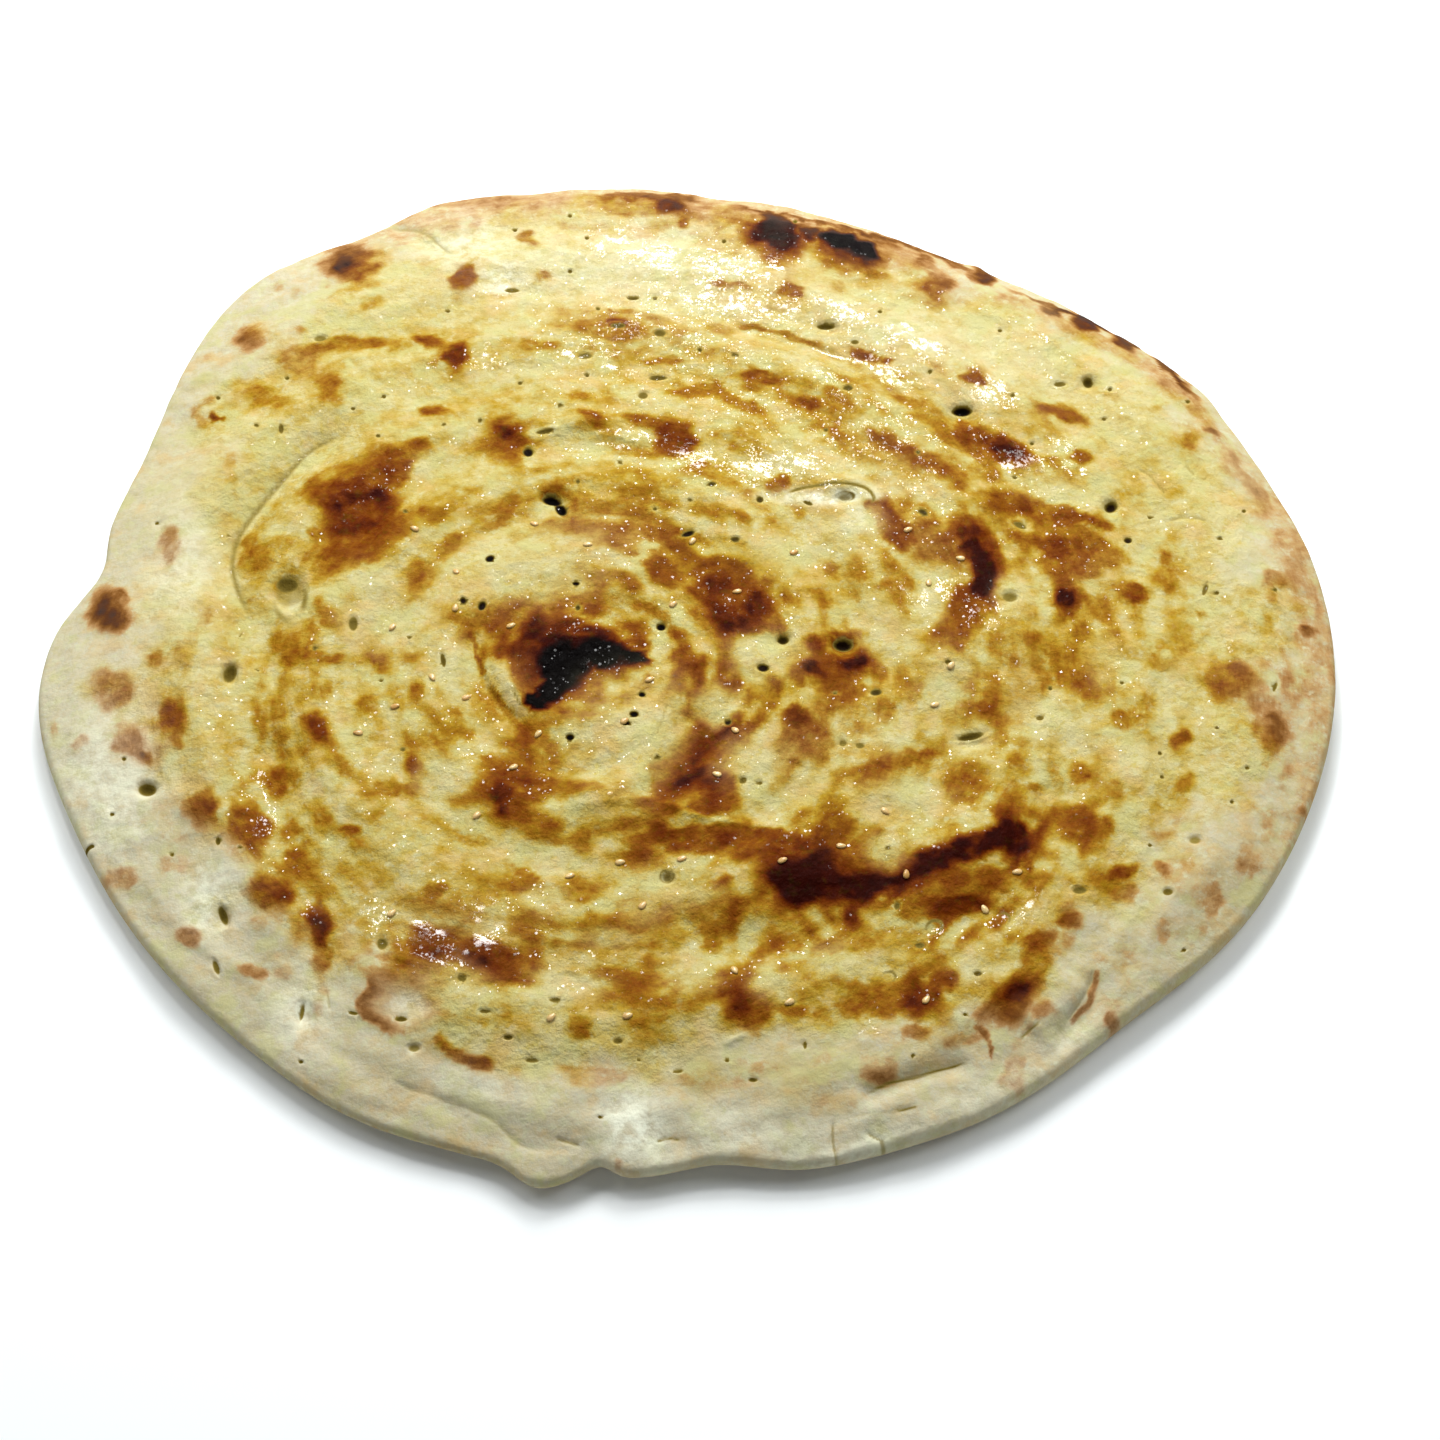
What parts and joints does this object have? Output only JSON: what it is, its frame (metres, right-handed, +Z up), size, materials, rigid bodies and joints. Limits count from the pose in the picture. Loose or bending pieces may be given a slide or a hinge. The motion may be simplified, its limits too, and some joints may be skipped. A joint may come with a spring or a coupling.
{
  "type": "tamees flatbread",
  "caption": "Large thin round flatbread with an uneven hand-pressed outline, a loose spiral of shallow furrows, browned blisters, small holes and sparse sesame seeds.",
  "frame": {"origin": "on the surface the bread lies on, under the middle of its box", "axes": "+Z up out of the crust, +X along the bread's longest way, -Y towards the lobe at the front rim"},
  "size_m": [0.4192, 0.412, 0.0204],
  "materials": {
    "crust": "baked crust, satin where it is oiled and dry at the rim"
  },
  "bodies": {
    "root": {"tamees": "crust"}
  },
  "joints": []
}
